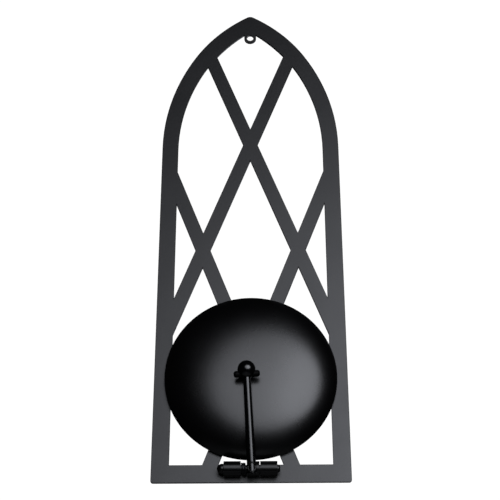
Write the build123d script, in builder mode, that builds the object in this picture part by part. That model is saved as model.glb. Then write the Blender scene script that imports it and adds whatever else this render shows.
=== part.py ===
from build123d import *
import os
from math import atan, atan2, cos, degrees, radians, sin, sqrt

os.makedirs("parts", exist_ok=True)

# Wall-hung yard bell, in millimetres. X to the right, +Z up, the front faces -Y.
# The origin is the centre of the hanging hole, on the back face, which lies on the wall at Y = 0.
# Heights named *_height are measured up from the foot of the panel.
# Depths named *_depth are measured forwards from the front face of the panel.

# Panel: one plate cut as a pointed window with two crossings of bars
panel_width = 190.4
panel_thickness = 2.5
side_band = 17.2
rail_band = 17.4
bar_width = 14.5
bar_slope = 0.385
outer_springing_height = 371.5
outer_shoulder_x = 60.0
outer_shoulder_height = 491.9
outer_tip_height = 547.7
inner_springing_height = 368.9
inner_shoulder_x = 55.0
inner_shoulder_height = 463.2
inner_tip_height = 525.5
upper_crossing_height = 374.0
lower_crossing_height = 118.0
hole_height = 516.5
hole_radius = 3.8
eye_radius = 6.7
eye_web_reach = 20.0
foot_corner_radius = 2.5
apex_radius = 7.0
front_edge_chamfer = 0.4

# Gong: a shallow pressed dome on a post
gong_radius = 85.0
gong_dome = 20.0
gong_sheet = 1.6
gong_rim_depth = 3.0
gong_edge_radius = 0.4
gong_centre_height = 105.2
crown_reach = 50.0
shoulder_radius = 76.0
shoulder_height = 14.0
gong_pad_radius = 15.0
post_radius = 6.0
post_weld_gap = 0.05
post_end_chamfer = 0.3
washer_radius = 8.0
washer_thickness = 1.0
screw_radius = 2.5
screw_head_radius = 4.8
screw_reach_depth = 15.0
screw_slot_width = 1.2
screw_slot_length = 6.7
screw_slot_depth = 1.0
screw_clearance = 0.25
countersink_angle = 90.0

# Hinge: two fixed barrels, a turning knuckle, a torsion spring and a pin along X
hinge_x = -0.4
pin_height = 11.2
pin_depth = 7.5
pin_radius = 3.0
pin_clearance = 0.05
pin_head_radius = 4.8
pin_head_reach = 6.4
barrel_radius = 7.1
barrel_length = 16.1
barrel_inner_end = 9.2
weld_foot_width = 6.0
knuckle_radius = 7.0
knuckle_left_end = -3.3
knuckle_right_end = 8.5
cap_radius = 3.8
cap_length = 2.8
cap_wall = 0.6
cap_edge_radius = 2.2
spring_wire_radius = 0.65
spring_bend_radius = 0.75
spring_leg_radius = 0.7
spring_coil_radius = 5.1
spring_pitch = 1.42
spring_turns = 2.75
spring_left_end = -8.9
spring_leg_depth = 3.0
spring_leg_clearance = 0.1

# Striker: a tapered rod, a cross pin and a ball
foot_x = 1.1
foot_height = 4.0
foot_depth = 16.3
rod_foot_radius = 4.5
rod_tip_radius = 3.6
rod_end_radius = 0.5
ball_radius = 8.75
ball_x = -3.7
ball_height = 100.8
ball_rest_gap = 2.0
cross_pin_radius = 3.3
cross_pin_end_radius = 2.6
cross_pin_length = 25.2
cross_pin_drop = 4.3
rod_past_centre = 3.0

half_width = panel_width / 2
front_y = -panel_thickness
gong_z = gong_centre_height - hole_height
pin_z = pin_height - hole_height


def arch_outline(half_span, base_height, springing_height, shoulder_x, shoulder_height, tip_height):
    """Draw straight sides, each carried on by two tangent arcs: to the shoulder, then to the tip."""
    base_z = base_height - hole_height
    springing_z = springing_height - hole_height
    shoulder_z = shoulder_height - hole_height
    tip_z = tip_height - hole_height
    Polyline(
        (-half_span, springing_z),
        (-half_span, base_z),
        (half_span, base_z),
        (half_span, springing_z),
    )
    for side in (-1, 1):
        shoulder = (side * shoulder_x, shoulder_z)
        flank = TangentArc((side * half_span, springing_z), shoulder, tangent=(0, 1))
        TangentArc(shoulder, (0, tip_z), tangent=flank % 1)


# Arch panel -----------------------------------------------------------------------------------
outer_arch = (
    half_width,
    0,
    outer_springing_height,
    outer_shoulder_x,
    outer_shoulder_height,
    outer_tip_height,
)
inner_arch = (
    half_width - side_band,
    rail_band,
    inner_springing_height,
    inner_shoulder_x,
    inner_shoulder_height,
    inner_tip_height,
)
bar_angle = degrees(atan(bar_slope))
crossings = [
    (0, upper_crossing_height - hole_height),
    (0, lower_crossing_height - hole_height),
]

with BuildPart() as arch_panel:
    with BuildSketch(Plane.XZ):
        with BuildLine():
            arch_outline(*outer_arch)
        make_face()
        with BuildLine():
            arch_outline(*inner_arch)
        make_face(mode=Mode.SUBTRACT)
        with Locations(crossings):
            Rectangle(bar_width, 2 * hole_height, rotation=bar_angle)
            Rectangle(bar_width, 2 * hole_height, rotation=-bar_angle)
        with Locations((0, gong_z)):
            Circle(gong_pad_radius)
        Circle(eye_radius)
        with Locations((0, eye_web_reach / 2)):
            Rectangle(2 * eye_radius, eye_web_reach)
        with BuildLine():
            arch_outline(*outer_arch)
        make_face(mode=Mode.INTERSECT)
    extrude(amount=panel_thickness)
    fillet(arch_panel.edges().filter_by(Axis.Y).group_by(Axis.Z)[0], foot_corner_radius)
    fillet(arch_panel.edges().filter_by(Axis.Y).group_by(Axis.Z)[-1], apex_radius)
    chamfer(arch_panel.faces().sort_by(Axis.Y)[0].edges(), front_edge_chamfer)
    with Locations(Plane((0, 0, 0), z_dir=(0, 1, 0))):
        Hole(hole_radius)
    with Locations(Plane((0, 0, gong_z), z_dir=(0, 1, 0))):
        CounterSinkHole(
            screw_radius + screw_clearance,
            screw_head_radius + screw_clearance,
            counter_sink_angle=countersink_angle,
        )

arch_panel.part.label = "arch_panel"
export_step(arch_panel.part, "parts/arch_panel.step")

# Gong -----------------------------------------------------------------------------------------
# Local x runs outwards along the radius, local y runs forwards from the panel.
gong_plane = Plane((0, front_y, gong_z), x_dir=(0, 0, 1), z_dir=(1, 0, 0))
rim_slope = atan2(shoulder_height, gong_radius - shoulder_radius)
outer_apex = (0, gong_rim_depth + gong_dome)
outer_crown = (crown_reach, gong_rim_depth + gong_dome)
outer_shoulder_point = (shoulder_radius, gong_rim_depth + shoulder_height)
outer_rim = (gong_radius, gong_rim_depth)
inner_apex = (0, outer_apex[1] - gong_sheet)
inner_crown = (crown_reach, inner_apex[1])
inner_shoulder_point = (
    shoulder_radius - gong_sheet * sin(rim_slope / 2),
    outer_shoulder_point[1] - gong_sheet * cos(rim_slope / 2),
)
inner_rim = (gong_radius - gong_sheet / sin(rim_slope), gong_rim_depth)

with BuildPart() as gong:
    with BuildSketch(gong_plane):
        with BuildLine():
            Bezier(outer_apex, outer_crown, outer_shoulder_point, outer_rim)
            Line(outer_rim, inner_rim)
            Bezier(inner_rim, inner_shoulder_point, inner_crown, inner_apex)
            Line(inner_apex, outer_apex)
        make_face()
    revolve(axis=Axis((0, front_y, gong_z), (0, 1, 0)))
    fillet(gong.edges().sort_by(SortBy.LENGTH)[-2:], gong_edge_radius)

gong.part.label = "gong"
export_step(gong.part, "parts/gong.step")

# Gong mounting: fibre washer, threaded post and countersunk screw --------------------------------
stack_plane = Plane((0, front_y, gong_z), z_dir=(0, -1, 0))
post_end_depth = inner_apex[1] - post_weld_gap

with BuildPart() as post_washer:
    with BuildSketch(stack_plane):
        Circle(washer_radius)
        Circle(screw_radius + screw_clearance, mode=Mode.SUBTRACT)
    extrude(amount=washer_thickness)

post_washer.part.label = "post_washer"
export_step(post_washer.part, "parts/post_washer.step")

with BuildPart() as gong_post:
    with BuildSketch(stack_plane.offset(washer_thickness)):
        Circle(post_radius)
    extrude(amount=post_end_depth - washer_thickness)
    with BuildSketch(stack_plane.offset(washer_thickness)):
        Circle(screw_radius)
    extrude(amount=screw_reach_depth, mode=Mode.SUBTRACT)
    chamfer(gong_post.edges().filter_by(GeomType.CIRCLE).sort_by(Axis.Y)[-1], post_end_chamfer)

gong_post.part.label = "gong_post"
export_step(gong_post.part, "parts/gong_post.step")

head_depth = screw_head_radius - screw_radius
with BuildPart() as gong_screw:
    with BuildSketch(stack_plane.offset(-panel_thickness)):
        Circle(screw_radius)
    extrude(amount=panel_thickness + screw_reach_depth)
    with BuildSketch(stack_plane.offset(-panel_thickness)):
        Circle(screw_head_radius)
    extrude(amount=head_depth, taper=countersink_angle / 2)
    with BuildSketch(stack_plane.offset(-panel_thickness)):
        Rectangle(screw_slot_length, screw_slot_width)
        Rectangle(screw_slot_width, screw_slot_length)
    extrude(amount=screw_slot_depth, mode=Mode.SUBTRACT)

gong_screw.part.label = "gong_screw"
export_step(gong_screw.part, "parts/gong_screw.step")

# Hinge ----------------------------------------------------------------------------------------
# Local x points up, local y points forwards, and the plane's normal is the pin's axis, +X.
# The ends of the barrels, knuckle and spring are measured from hinge_x.
pin_plane = Plane((hinge_x, front_y - pin_depth, pin_z), x_dir=(0, 0, 1), z_dir=(1, 0, 0))

for barrel_name, barrel_start in (
    ("left_barrel", -barrel_inner_end - barrel_length),
    ("right_barrel", barrel_inner_end),
):
    with BuildPart() as barrel:
        with BuildSketch(pin_plane.offset(barrel_start)):
            Circle(barrel_radius)
            with Locations((0, -pin_depth / 2)):
                Rectangle(weld_foot_width, pin_depth)
            Circle(pin_radius + pin_clearance, mode=Mode.SUBTRACT)
        extrude(amount=barrel_length)
    barrel.part.label = barrel_name
    export_step(barrel.part, f"parts/{barrel_name}.step")

barrel_outer_end = barrel_inner_end + barrel_length
pin_end = barrel_outer_end + cap_length - cap_wall

with BuildPart() as hinge_pin:
    with Locations(pin_plane.offset(pin_head_radius - barrel_outer_end - pin_head_reach)):
        Sphere(pin_head_radius)
    split(bisect_by=Plane.YZ.offset(hinge_x - barrel_outer_end), keep=Keep.BOTTOM)
    with BuildSketch(pin_plane.offset(-barrel_outer_end)):
        Circle(pin_radius)
    extrude(amount=barrel_outer_end + pin_end)

hinge_pin.part.label = "hinge_pin"
export_step(hinge_pin.part, "parts/hinge_pin.step")

with BuildPart() as pin_cap:
    with BuildSketch(pin_plane.offset(barrel_outer_end)):
        Circle(cap_radius)
    extrude(amount=cap_length)
    fillet(pin_cap.edges().sort_by(Axis.X)[-1], cap_edge_radius)
    with BuildSketch(pin_plane.offset(barrel_outer_end)):
        Circle(pin_radius)
    extrude(amount=pin_end - barrel_outer_end, mode=Mode.SUBTRACT)

pin_cap.part.label = "pin_cap"
export_step(pin_cap.part, "parts/pin_cap.step")

# Return spring: a coil round the pin, one leg on the rail and the other in the knuckle -----------
spring_start = spring_left_end + spring_wire_radius
spring_height = spring_pitch * spring_turns
coil_plane = pin_plane.offset(spring_start)
coil_end_plane = pin_plane.offset(spring_start + spring_height)
end_angle = radians(360 * spring_turns)
coil_end = (spring_coil_radius * cos(end_angle), spring_coil_radius * sin(end_angle))
knuckle_leg = spring_leg_depth + knuckle_left_end - spring_start - spring_height
rail_leg_plane = Plane(coil_plane.from_local_coords((spring_coil_radius, 0, 0)), z_dir=(0, 1, 0))

with BuildPart() as return_spring:
    with BuildLine() as coil:
        Helix(
            spring_pitch,
            spring_height,
            spring_coil_radius,
            center=tuple(coil_plane.origin),
            direction=(1, 0, 0),
        )
    with BuildSketch(Plane(coil.wire() @ 0, z_dir=coil.wire() % 0)):
        Circle(spring_wire_radius)
    sweep(path=coil.wire(), is_frenet=True)
    with Locations(rail_leg_plane, coil_end_plane.from_local_coords(coil_end + (0,))):
        Sphere(spring_bend_radius)
    with BuildSketch(rail_leg_plane):
        Circle(spring_leg_radius)
    extrude(amount=pin_depth)
    with BuildSketch(coil_end_plane):
        with Locations(coil_end):
            Circle(spring_leg_radius)
    extrude(amount=knuckle_leg)

return_spring.part.label = "return_spring"
export_step(return_spring.part, "parts/return_spring.step")

# Striker --------------------------------------------------------------------------------------
ball_depth = gong_rim_depth + gong_dome + ball_rest_gap + ball_radius
ball_centre = Vector(ball_x, front_y - ball_depth, ball_height - hole_height)
rod_foot = Vector(foot_x, front_y - foot_depth, foot_height - hole_height)
rod_line = ball_centre - rod_foot
rod_plane = Plane(rod_foot, x_dir=(1, 0, 0), z_dir=rod_line)
rod_length = rod_line.length + rod_past_centre
rod_taper = degrees(atan((rod_foot_radius - rod_tip_radius) / rod_length))
cross_plane = Plane(
    rod_plane.from_local_coords((-cross_pin_length / 2, 0, rod_line.length - cross_pin_drop)),
    z_dir=rod_plane.x_dir,
)

with BuildPart() as cross_pin:
    with BuildSketch(cross_plane):
        Circle(cross_pin_radius)
    extrude(amount=cross_pin_length)
    fillet(cross_pin.edges().filter_by(GeomType.CIRCLE), cross_pin_end_radius)

cross_pin.part.label = "cross_pin"
export_step(cross_pin.part, "parts/cross_pin.step")

with BuildPart() as striker_rod:
    with BuildSketch(rod_plane):
        Circle(rod_foot_radius)
    extrude(amount=rod_length, taper=rod_taper)
    fillet(striker_rod.edges().filter_by(GeomType.CIRCLE).sort_by(Axis.Z)[0], rod_end_radius)
    add(cross_pin.part, mode=Mode.SUBTRACT)

striker_rod.part.label = "striker_rod"
export_step(striker_rod.part, "parts/striker_rod.step")

with BuildPart() as striker_ball:
    with Locations(Plane(ball_centre, z_dir=rod_line)):
        Sphere(ball_radius)
    add(striker_rod.part, mode=Mode.SUBTRACT)
    add(cross_pin.part, mode=Mode.SUBTRACT)

striker_ball.part.label = "striker_ball"
export_step(striker_ball.part, "parts/striker_ball.step")

with BuildPart() as knuckle:
    with BuildSketch(pin_plane.offset(knuckle_left_end)):
        Circle(knuckle_radius)
        Circle(pin_radius + pin_clearance, mode=Mode.SUBTRACT)
    extrude(amount=knuckle_right_end - knuckle_left_end)
    with BuildSketch(pin_plane.offset(knuckle_left_end)):
        with Locations(coil_end):
            Circle(spring_leg_radius + spring_leg_clearance)
    extrude(amount=spring_leg_depth + spring_leg_clearance, mode=Mode.SUBTRACT)
    add(striker_rod.part, mode=Mode.SUBTRACT)

knuckle.part.label = "knuckle"
export_step(knuckle.part, "parts/knuckle.step")
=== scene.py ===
from math import cos, pi, radians, sin, sqrt

import bmesh
import bpy
from mathutils import Matrix, Vector


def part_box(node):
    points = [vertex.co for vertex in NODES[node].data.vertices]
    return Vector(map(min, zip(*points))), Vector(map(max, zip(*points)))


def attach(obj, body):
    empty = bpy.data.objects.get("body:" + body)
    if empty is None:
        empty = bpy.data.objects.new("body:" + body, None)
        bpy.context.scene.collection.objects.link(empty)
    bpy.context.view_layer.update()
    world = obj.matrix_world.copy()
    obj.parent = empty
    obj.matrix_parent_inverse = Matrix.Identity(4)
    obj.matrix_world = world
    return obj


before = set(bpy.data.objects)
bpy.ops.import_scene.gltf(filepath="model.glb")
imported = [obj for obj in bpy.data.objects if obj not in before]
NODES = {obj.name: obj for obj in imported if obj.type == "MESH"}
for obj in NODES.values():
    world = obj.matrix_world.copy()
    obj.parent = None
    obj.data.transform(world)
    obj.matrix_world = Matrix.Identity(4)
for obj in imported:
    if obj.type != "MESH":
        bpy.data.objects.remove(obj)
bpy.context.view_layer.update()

panel_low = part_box("arch_panel")[0]
front_y = panel_low[1]
panel_foot_z = panel_low[2]


# Materials ------------------------------------------------------------------------------------
def new_material(name):
    """An empty node material with its Principled shader, both returned."""
    material = bpy.data.materials.new(name)
    material.use_nodes = True
    return material, material.node_tree.nodes["Principled BSDF"]


def add_node(material, kind, **inputs):
    """A shader node with some of its inputs set by name."""
    node = material.node_tree.nodes.new(kind)
    for key, value in inputs.items():
        node.inputs[key.replace("_", " ")].default_value = value
    return node


def link(material, source, target):
    material.node_tree.links.new(source, target)


def object_coordinates(material):
    return add_node(material, "ShaderNodeTexCoord").outputs["Object"]


def noise(material, scale, detail=3.0, roughness=0.5):
    """Fractal noise in object space. Scale is in waves per metre."""
    node = add_node(material, "ShaderNodeTexNoise", Scale=scale, Detail=detail, Roughness=roughness)
    link(material, object_coordinates(material), node.inputs["Vector"])
    return node.outputs["Fac"]


def remap(material, source, low, high, from_low=0.3, from_high=0.7):
    """A value stretched to run from low to high."""
    node = add_node(material, "ShaderNodeMapRange")
    node.inputs["From Min"].default_value = from_low
    node.inputs["From Max"].default_value = from_high
    node.inputs["To Min"].default_value = low
    node.inputs["To Max"].default_value = high
    link(material, source, node.inputs["Value"])
    return node.outputs["Result"]


def colour_between(material, factor, first, second):
    node = add_node(material, "ShaderNodeMix")
    node.data_type = "RGBA"
    node.inputs["A"].default_value = (*first, 1)
    node.inputs["B"].default_value = (*second, 1)
    link(material, factor, node.inputs["Factor"])
    return node.outputs["Result"]


def bump(material, height, distance, strength, below=None):
    """A bump of the given height in metres, over another bump if there is one."""
    node = add_node(material, "ShaderNodeBump", Distance=distance, Strength=strength)
    link(material, height, node.inputs["Height"])
    if below is not None:
        link(material, below, node.inputs["Normal"])
    return node.outputs["Normal"]


def edge_mask(material, radius):
    """Near 1 on sharp outer edges and 0 on open faces, broken up by noise."""
    bevel = material.node_tree.nodes.new("ShaderNodeBevel")
    bevel.samples = 4
    bevel.inputs["Radius"].default_value = radius
    geometry = material.node_tree.nodes.new("ShaderNodeNewGeometry")
    dot = material.node_tree.nodes.new("ShaderNodeVectorMath")
    dot.operation = "DOT_PRODUCT"
    link(material, bevel.outputs["Normal"], dot.inputs[0])
    link(material, geometry.outputs["Normal"], dot.inputs[1])
    sharp = remap(material, dot.outputs["Value"], 1.0, 0.0, 0.8, 0.99)
    patchy = remap(material, noise(material, 260.0, 4.0, 0.6), 0.0, 1.0, 0.42, 0.62)
    both = material.node_tree.nodes.new("ShaderNodeMath")
    both.operation = "MULTIPLY"
    link(material, sharp, both.inputs[0])
    link(material, patchy, both.inputs[1])
    return both.outputs["Value"]


# Radius and tone of the lightened edges: partly rubbed coat, partly a painted highlight along the edges.
EDGE_WEAR_AND_HIGHLIGHT_RADIUS = 0.0006
RUBBED_AND_HIGHLIGHT_TONE = (0.02, 0.02, 0.021)
PEEL_TO_GRAIN_SCALE = 0.22
PEEL_TO_GRAIN_HEIGHT = 2.5
GLOSS_SPREAD = 0.03


def powder_coat(name, dark, light, rough, grain_scale, grain_height, specular=0.5):
    """Black powder coat: orange peel, a fine grain, faint clouds of tone and gloss, and edges lightened
    partly as rubbed coat and partly as a painted highlight.
    """
    material, shader = new_material(name)
    shader.inputs["Specular IOR Level"].default_value = specular
    clouds = noise(material, 14.0, 4.0, 0.6)
    grain = noise(material, grain_scale, 2.0, 0.6)
    peel = noise(material, grain_scale * PEEL_TO_GRAIN_SCALE, 2.0, 0.4)
    coat = colour_between(material, clouds, dark, light)
    # Edges are lightened in colour, partly as rubbed coat and partly as a painted highlight along the
    # edges.
    edge_wear_and_highlight = colour_between(material, edge_mask(material, EDGE_WEAR_AND_HIGHLIGHT_RADIUS), (0, 0, 0), RUBBED_AND_HIGHLIGHT_TONE)
    tone = material.node_tree.nodes.new("ShaderNodeVectorMath")
    link(material, coat, tone.inputs[0])
    link(material, edge_wear_and_highlight, tone.inputs[1])
    link(material, tone.outputs["Vector"], shader.inputs["Base Color"])
    gloss = remap(material, clouds, rough - GLOSS_SPREAD, rough + GLOSS_SPREAD)
    link(material, gloss, shader.inputs["Roughness"])
    soft = bump(material, peel, grain_height * PEEL_TO_GRAIN_HEIGHT, 0.5)
    link(material, bump(material, grain, grain_height, 0.6, soft), shader.inputs["Normal"])
    return material


def plated_steel(name, colour, rough):
    """Bright plated steel with a fine bump and small stains."""
    material, shader = new_material(name)
    shader.inputs["Metallic"].default_value = 1.0
    stains = noise(material, 180.0, 4.0, 0.6)
    dull = tuple(0.6 * channel for channel in colour)
    link(material, colour_between(material, stains, dull, colour), shader.inputs["Base Color"])
    link(material, remap(material, stains, rough - 0.08, rough + 0.1), shader.inputs["Roughness"])
    link(material, bump(material, noise(material, 2500.0), 0.00002, 0.5), shader.inputs["Normal"])
    return material


def fibre(name):
    """Vulcanised fibre: dark red-brown, matt, with short flecks."""
    material, shader = new_material(name)
    flecks = noise(material, 1800.0, 4.0, 0.7)
    mixed = colour_between(material, flecks, (0.06, 0.018, 0.012), (0.16, 0.05, 0.03))
    link(material, mixed, shader.inputs["Base Color"])
    shader.inputs["Roughness"].default_value = 0.75
    link(material, bump(material, flecks, 0.00005, 0.6), shader.inputs["Normal"])
    return material


PANEL_COAT = powder_coat(
    "panel_coat", (0.002, 0.002, 0.0023), (0.0034, 0.0034, 0.0039), 0.40, 1600.0, 0.00002
)
GONG_COAT = powder_coat(
    "gong_coat", (0.0005, 0.0005, 0.0006), (0.001, 0.001, 0.0011), 0.27, 1900.0, 0.000012
)
HINGE_COAT = powder_coat(
    "hinge_coat", (0.0006, 0.0006, 0.0007), (0.001, 0.001, 0.0011), 0.27, 2400.0, 0.000008, 0.3
)
STRIKER_COAT = powder_coat(
    "striker_coat", (0.0006, 0.0006, 0.0007), (0.001, 0.001, 0.0011), 0.18, 2400.0, 0.000006
)
PIN_COAT = powder_coat(
    "cross_pin_coat", (0.0006, 0.0006, 0.0007), (0.0012, 0.0012, 0.0013), 0.55, 2400.0, 0.00002, 0.06
)
ZINC = plated_steel("zinc_steel", (0.6, 0.61, 0.63), 0.35)
SPRING_STEEL = plated_steel("spring_steel", (0.05, 0.05, 0.055), 0.35)
FIBRE = fibre("fibre_washer")

COATS = {
    "arch_panel": PANEL_COAT,
    "gong": GONG_COAT,
    "gong_post": ZINC,
    "post_washer": FIBRE,
    "gong_screw": ZINC,
    "left_barrel": HINGE_COAT,
    "right_barrel": HINGE_COAT,
    "hinge_pin": HINGE_COAT,
    "pin_cap": HINGE_COAT,
    "return_spring": SPRING_STEEL,
    "knuckle": HINGE_COAT,
    "striker_rod": STRIKER_COAT,
    "cross_pin": PIN_COAT,
    "striker_ball": STRIKER_COAT,
}
for node_name, coat in COATS.items():
    NODES[node_name].data.materials.clear()
    NODES[node_name].data.materials.append(coat)


# Welds ----------------------------------------------------------------------------------------
def weld_bead(name, path, radius, closed, body, material):
    """A rippled bead of weld metal along a path of points, in metres, on the given body."""
    sides = 12
    bead = bmesh.new()
    rings = []
    count = len(path)
    for i, point in enumerate(path):
        before = path[i - 1] if closed or i > 0 else point
        after = path[(i + 1) % count] if closed or i < count - 1 else point
        along = (after - before).normalized()
        side = along.cross(Vector((0.3, 1.0, 0.2))).normalized()
        over = along.cross(side)
        ripple = 1.0 + 0.12 * cos(i * pi / 2)
        taper = 1.0 if closed else min(1.0, 0.35 + 0.22 * min(i, count - 1 - i))
        size = radius * ripple * taper
        ring = []
        for k in range(sides):
            turn = 2 * pi * k / sides
            ring.append(bead.verts.new(point + size * (cos(turn) * side + sin(turn) * over)))
        rings.append(ring)
    joins = range(count) if closed else range(count - 1)
    for i in joins:
        near, far = rings[i], rings[(i + 1) % count]
        for k in range(sides):
            m = (k + 1) % sides
            bead.faces.new((near[k], near[m], far[m], far[k]))
    if not closed:
        bead.faces.new(rings[0])
        bead.faces.new(rings[-1])
    bmesh.ops.recalc_face_normals(bead, faces=bead.faces)
    mesh = bpy.data.meshes.new(name)
    bead.to_mesh(mesh)
    bead.free()
    mesh.shade_smooth()
    mesh.materials.append(material)
    piece = bpy.data.objects.new(name, mesh)
    bpy.context.scene.collection.objects.link(piece)
    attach(piece, body)


BARREL_BEAD_RADIUS = 0.0013
BARREL_BEAD_DROP = 0.0043
BARREL_BEAD_END = 0.0008
BARREL_BEAD_DEPTH = 0.0003
BEAD_STEP = 0.0005
for barrel_name in ("left_barrel", "right_barrel"):
    low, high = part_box(barrel_name)
    axis_z = (low[2] + high[2]) / 2
    steps = int((high[0] - low[0] - 2 * BARREL_BEAD_END) / BEAD_STEP)
    for side_name, rise in (("upper", BARREL_BEAD_DROP), ("lower", -BARREL_BEAD_DROP)):
        line = [
            Vector((low[0] + BARREL_BEAD_END + i * BEAD_STEP, front_y - BARREL_BEAD_DEPTH, axis_z + rise))
            for i in range(steps + 1)
        ]
        weld_bead(
            f"{barrel_name}_{side_name}_weld", line, BARREL_BEAD_RADIUS, False,
            "bell", HINGE_COAT,
        )

# The rod's bead follows the line where the rod cuts into the round knuckle.
ROD_RADIUS = 0.00447
ROD_BEAD_RADIUS = 0.0009
ROD_BEAD_POINTS = 48
ROD_FOOT = Vector((0.0011, front_y - 0.0163, panel_foot_z + 0.004))
BALL = Vector((-0.0037, front_y - 0.03375, panel_foot_z + 0.1008))
knuckle_low, knuckle_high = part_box("knuckle")
PIN = Vector((0, (knuckle_low[1] + knuckle_high[1]) / 2, (knuckle_low[2] + knuckle_high[2]) / 2))
KNUCKLE_RADIUS = (knuckle_high[2] - knuckle_low[2]) / 2
rod_way = (BALL - ROD_FOOT).normalized()
wallwards = Vector((1, 0, 0)).cross(rod_way).normalized()
sideways = rod_way.cross(wallwards).normalized()
nearest = ROD_FOOT + rod_way * (PIN - ROD_FOOT).dot(rod_way)
reach = abs((PIN - nearest).dot(wallwards))
half_width = sqrt(ROD_RADIUS**2 - (reach - KNUCKLE_RADIUS) ** 2)
loop = []
for i in range(ROD_BEAD_POINTS):
    turn = 2 * pi * i / ROD_BEAD_POINTS
    across = half_width * cos(turn)
    inwards = sqrt(ROD_RADIUS**2 - across**2)
    rise = sqrt(max(0.0, KNUCKLE_RADIUS**2 - (reach - inwards) ** 2))
    loop.append(
        nearest + sideways * across + wallwards * inwards + rod_way * (rise if turn <= pi else -rise)
    )
weld_bead("rod_weld", loop, ROD_BEAD_RADIUS, True, "striker", HINGE_COAT)


# Stage, light and camera ----------------------------------------------------------------------
def area_light(name, place, target, width, height, power):
    data = bpy.data.lights.new(name, "AREA")
    data.shape = "ELLIPSE"
    data.size = width
    data.size_y = height
    data.energy = power
    data.color = SOFTBOX_COLOUR
    lamp = bpy.data.objects.new(name, data)
    bpy.context.scene.collection.objects.link(lamp)
    lamp.location = place
    lamp.rotation_euler = (Vector(target) - Vector(place)).to_track_quat("-Z", "Y").to_euler()


def around(target, azimuth, elevation, distance):
    """A point at a distance from target. Azimuth 0 is in front, and positive is to the right."""
    a, e = radians(azimuth), radians(elevation)
    ahead = Vector((sin(a) * cos(e), -cos(a) * cos(e), sin(e)))
    return Vector(target) + distance * ahead


gong_low, gong_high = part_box("gong")
GONG_CENTRE = (Vector(gong_low) + Vector(gong_high)) / 2

SOFTBOX_COLOUR = (0.9, 0.925, 1.0)
area_light("key", around(GONG_CENTRE, 15, 12, 1.5), GONG_CENTRE, 1.75, 1.4, 18.0)
area_light("key_core", around(GONG_CENTRE, 24, 12, 1.45), GONG_CENTRE, 0.9, 1.0, 5.0)
area_light("back_fill", around(GONG_CENTRE, 165, 8, 1.6), GONG_CENTRE, 1.8, 1.5, 9.0)
area_light("floor_bounce", around(GONG_CENTRE, 0, -60, 1.2), GONG_CENTRE, 0.7, 0.16, 0.08)

# A white field behind the object, and a dim room that its coat reflects.
world = bpy.data.worlds.new("studio")
bpy.context.scene.world = world
world.use_nodes = True
tree = world.node_tree
tree.nodes.clear()
output = tree.nodes.new("ShaderNodeOutputWorld")
choose = tree.nodes.new("ShaderNodeMixShader")
path = tree.nodes.new("ShaderNodeLightPath")
room = tree.nodes.new("ShaderNodeBackground")
room.inputs["Color"].default_value = (0.9, 0.95, 1.0, 1)
room.inputs["Strength"].default_value = 0.006
field = tree.nodes.new("ShaderNodeBackground")
field.inputs["Color"].default_value = (1, 1, 1, 1)
field.inputs["Strength"].default_value = 1.05
tree.links.new(path.outputs["Is Camera Ray"], choose.inputs["Fac"])
tree.links.new(room.outputs[0], choose.inputs[1])
tree.links.new(field.outputs[0], choose.inputs[2])
tree.links.new(choose.outputs[0], output.inputs["Surface"])
bpy.context.scene.view_settings.view_transform = "Standard"

FLOOR_DROP = 2.6
FLOOR_REACH = 3.0
floor_mesh = bpy.data.meshes.new("floor")
floor_z = panel_foot_z - FLOOR_DROP
floor_mesh.from_pydata(
    [
        (-FLOOR_REACH, -FLOOR_REACH, floor_z),
        (FLOOR_REACH, -FLOOR_REACH, floor_z),
        (FLOOR_REACH, FLOOR_REACH, floor_z),
        (-FLOOR_REACH, FLOOR_REACH, floor_z),
    ],
    [],
    [(0, 1, 2, 3)],
)
floor = bpy.data.objects.new("floor", floor_mesh)
bpy.context.scene.collection.objects.link(floor)
floor_material, floor_shader = new_material("floor_paint")
floor_shader.inputs["Base Color"].default_value = (0.8, 0.8, 0.8, 1)
floor_shader.inputs["Roughness"].default_value = 0.8
floor_mesh.materials.append(floor_material)

# The camera looks up at the bell from below, almost square on.
AIM_X = -0.0006
AIM_ABOVE_FOOT = 0.246
CAMERA_DISTANCE = 1.245
CAMERA_PITCH = radians(27.0)
CAMERA_YAW = radians(0.73)
CAMERA_ROLL = radians(-0.1)
CAMERA_LENS = 86.6
CAMERA_SENSOR_WIDTH = 36.0
aim = Vector((AIM_X, front_y, panel_foot_z + AIM_ABOVE_FOOT))
level = cos(CAMERA_PITCH)
sight = Vector((-sin(CAMERA_YAW) * level, cos(CAMERA_YAW) * level, sin(CAMERA_PITCH)))
camera_data = bpy.data.cameras.new("camera")
camera_data.lens = CAMERA_LENS
camera_data.sensor_width = CAMERA_SENSOR_WIDTH
camera = bpy.data.objects.new("camera", camera_data)
bpy.context.scene.collection.objects.link(camera)
camera_turn = sight.to_track_quat("-Z", "Y").to_matrix().to_4x4() @ Matrix.Rotation(CAMERA_ROLL, 4, "Z")
camera.matrix_world = Matrix.Translation(aim - CAMERA_DISTANCE * sight) @ camera_turn
bpy.context.scene.camera = camera
